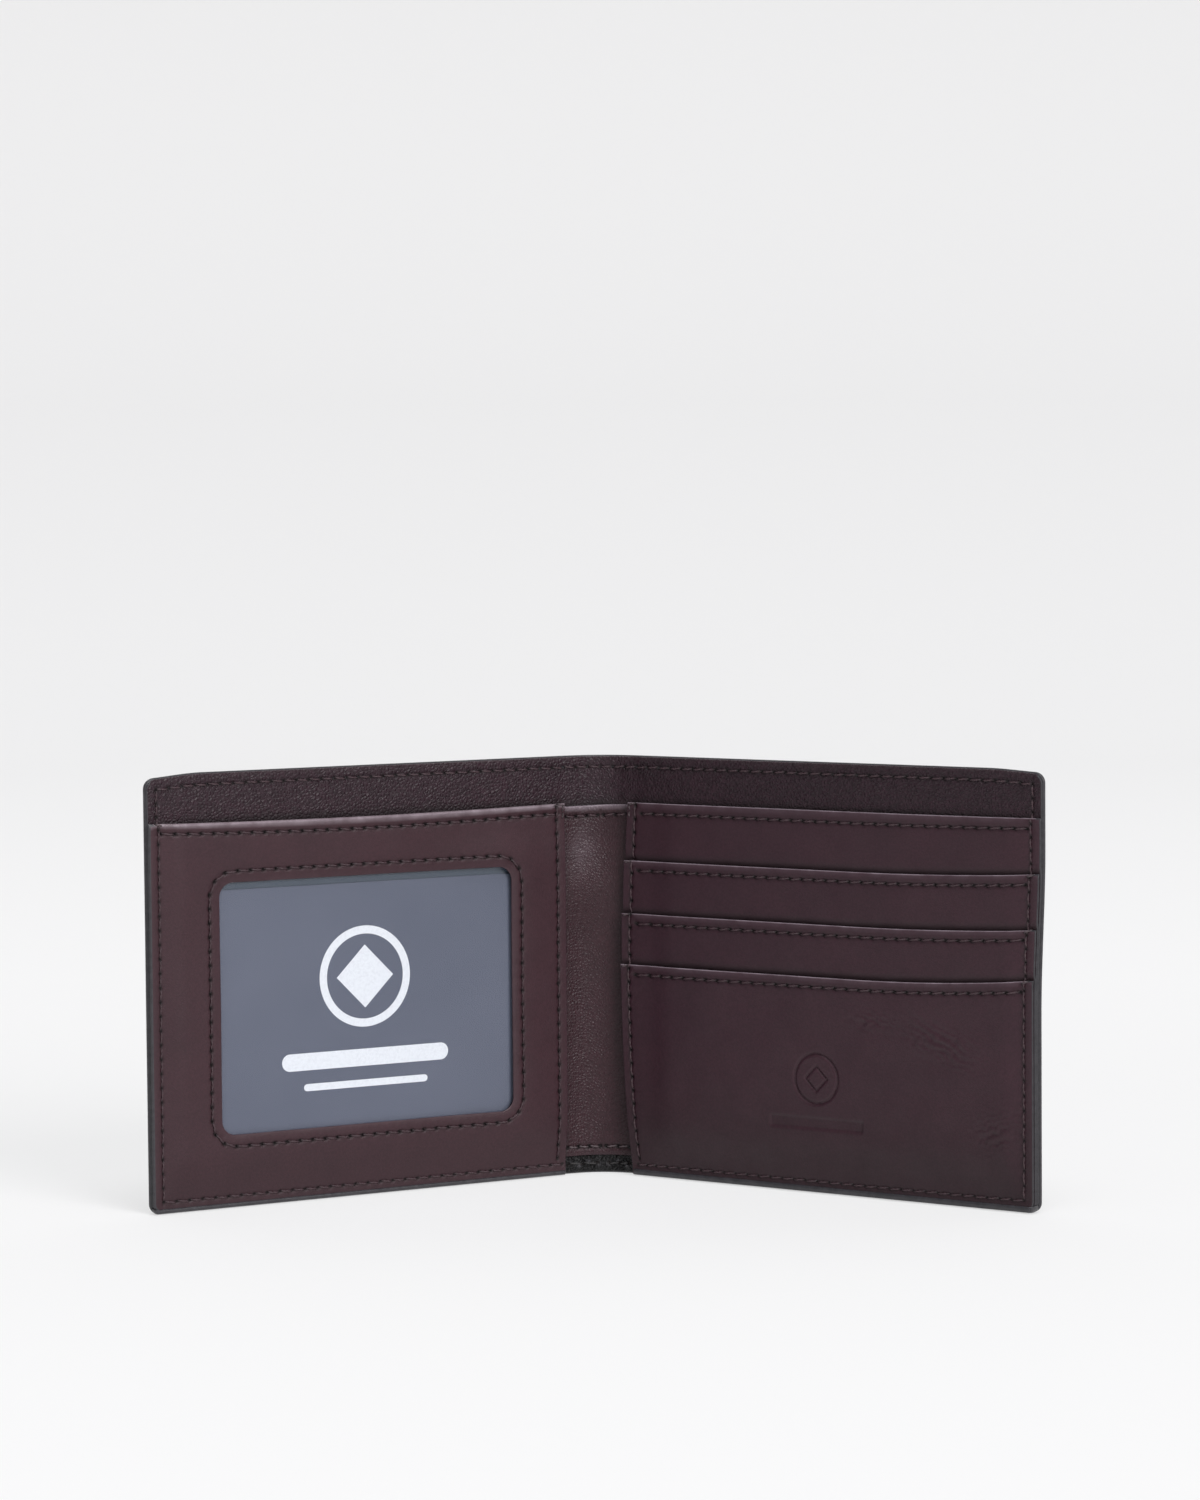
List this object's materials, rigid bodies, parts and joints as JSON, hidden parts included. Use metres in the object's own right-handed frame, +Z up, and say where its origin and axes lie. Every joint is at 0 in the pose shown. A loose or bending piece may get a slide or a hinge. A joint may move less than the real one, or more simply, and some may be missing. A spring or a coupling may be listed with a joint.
{
  "type": "bifold wallet",
  "caption": "Leather bifold wallet standing open like a book, with a windowed ID pocket, stacked card slots and a full-width bill compartment.",
  "frame": {"origin": "centre of the footprint, on the surface that the open wallet stands on", "axes": "+X along the wallet's width, from the ID half to the card half; +Y towards the spine's outside, away from the inside faces; +Z up, along the fold lines"},
  "size_m": [0.1824, 0.0598, 0.09],
  "materials": {
    "panel_leather": "smooth satin, dark oxblood brown",
    "cover_leather": "coarse pebble grain, near-black",
    "lining": "pebbled brown lining",
    "tape": "painted dark at the edge",
    "board": "fibre board",
    "film": "clear, glossy",
    "insert": "matt printed card",
    "thread_inside": "waxed brown thread",
    "thread_outside": "waxed dark thread"
  },
  "bodies": {
    "spine": {"cover_spine": "cover_leather", "cover_lining_spine": "lining", "divider_strip": "panel_leather", "divider_cloth_strip": "lining", "thread_strip": "thread_inside", "thread_edge_spine": "thread_inside", "thread_outside_spine": "thread_outside"},
    "left_half": {"cover_left": "cover_leather", "cover_core_left": "board", "cover_lining_left": "lining", "divider_left": "panel_leather", "divider_cloth_left": "lining", "bill_tape_left": "tape", "thread_outside_left": "thread_outside", "thread_edge_left": "thread_inside", "id_frame": "panel_leather", "id_film": "film", "id_tape": "tape", "thread_id_window": "thread_inside", "thread_id_hem": "thread_inside", "thread_id_side": "thread_inside"},
    "insert": {"insert_card": "insert"},
    "right_half": {"cover_right": "cover_leather", "cover_core_right": "board", "cover_lining_right": "lining", "divider_right": "panel_leather", "divider_cloth_right": "lining", "bill_tape_right": "tape", "thread_outside_right": "thread_outside", "thread_edge_right": "thread_inside", "card_panel": "panel_leather", "card_pocket_upper": "panel_leather", "card_cloth_upper": "lining", "card_tape_upper": "tape", "card_pocket_middle": "panel_leather", "card_cloth_middle": "lining", "card_tape_middle": "tape", "card_pocket_front": "panel_leather", "card_tape_front": "tape", "thread_panel_hem": "thread_inside", "thread_upper_hem": "thread_inside", "thread_middle_hem": "thread_inside", "thread_front_hem": "thread_inside", "thread_card_side": "thread_inside"}
  },
  "joints": [
    {"name": "fold_left", "type": "hinge", "parent": "spine", "child": "left_half", "pos_m": [-0.00805, 0.02693, 0], "axis": [0, 0, 1], "range_deg": [-32.5, 59.5]},
    {"name": "fold_right", "type": "hinge", "parent": "spine", "child": "right_half", "pos_m": [0.00805, 0.02693, 0], "axis": [0, 0, -1], "range_deg": [-32.5, 59.5]},
    {"name": "insert_slide", "type": "slide", "parent": "left_half", "child": "insert", "axis": [0, 0, 1], "range_m": [0, 0.07]}
  ]
}
